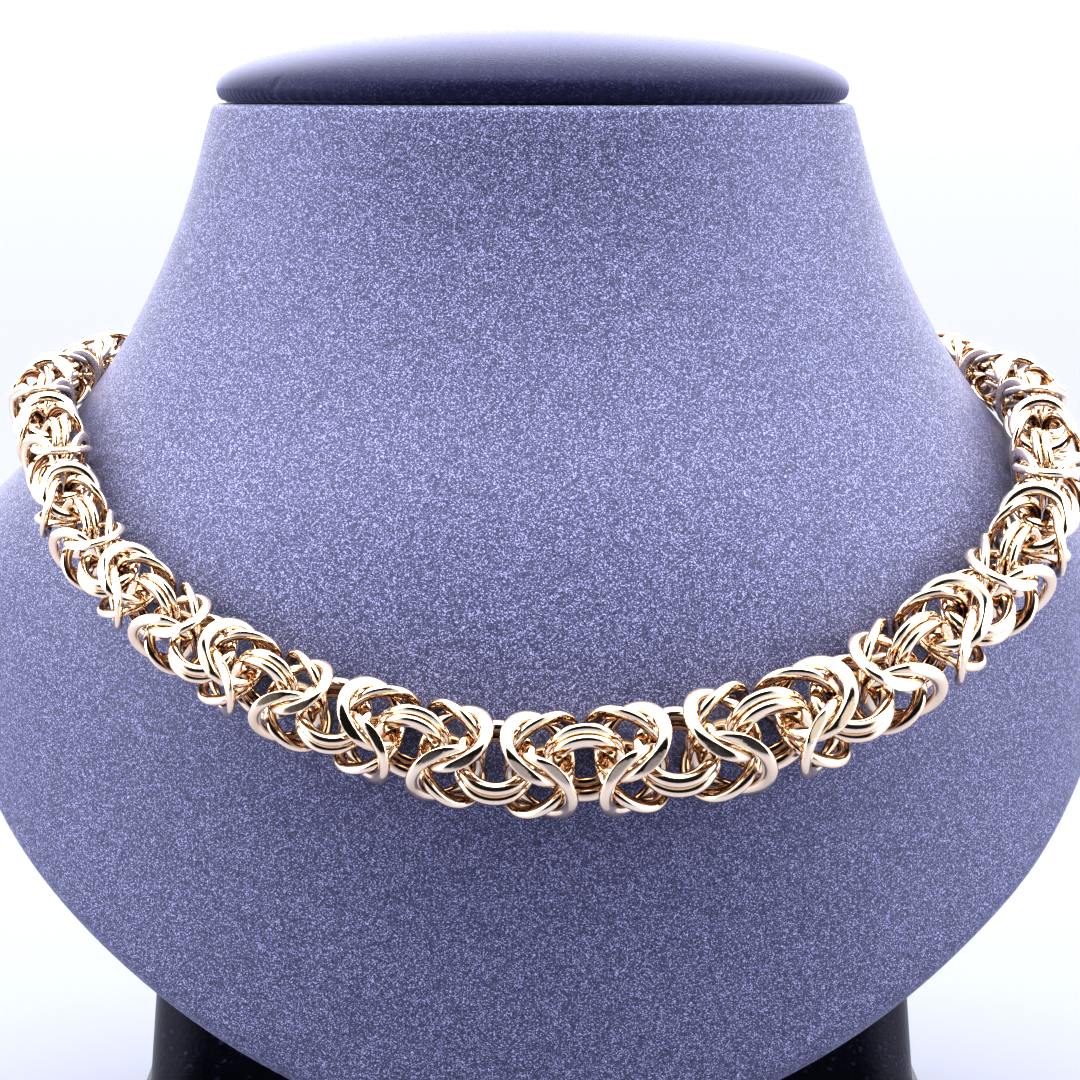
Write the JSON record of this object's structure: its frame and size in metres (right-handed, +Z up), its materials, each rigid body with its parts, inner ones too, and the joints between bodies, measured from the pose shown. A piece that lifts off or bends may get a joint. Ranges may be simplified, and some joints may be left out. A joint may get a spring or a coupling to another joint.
{
  "type": "byzantine chain necklace on a neck bust",
  "caption": "Graduated gold byzantine chain necklace with a plain box clasp, laid round a neck bust covered in leatherette, with a cushioned cap and a dark foot.",
  "frame": {"origin": "on the floor, at the middle of the footprint box of the whole part", "axes": "+Z up, -Y the front of the bust, +X to the right as the front is seen"},
  "size_m": [0.1648, 0.1268, 0.1723],
  "materials": {
    "gold": "polished",
    "bust_leather": "fine grained with a pearl sheen",
    "dark_leather": "fine grained, dark"
  },
  "bodies": {
    "root": {"chain_left": "gold", "chain_right": "gold", "clasp": "gold", "neck_bust": "bust_leather", "bust_cap": "dark_leather", "bust_foot": "dark_leather"}
  },
  "joints": []
}
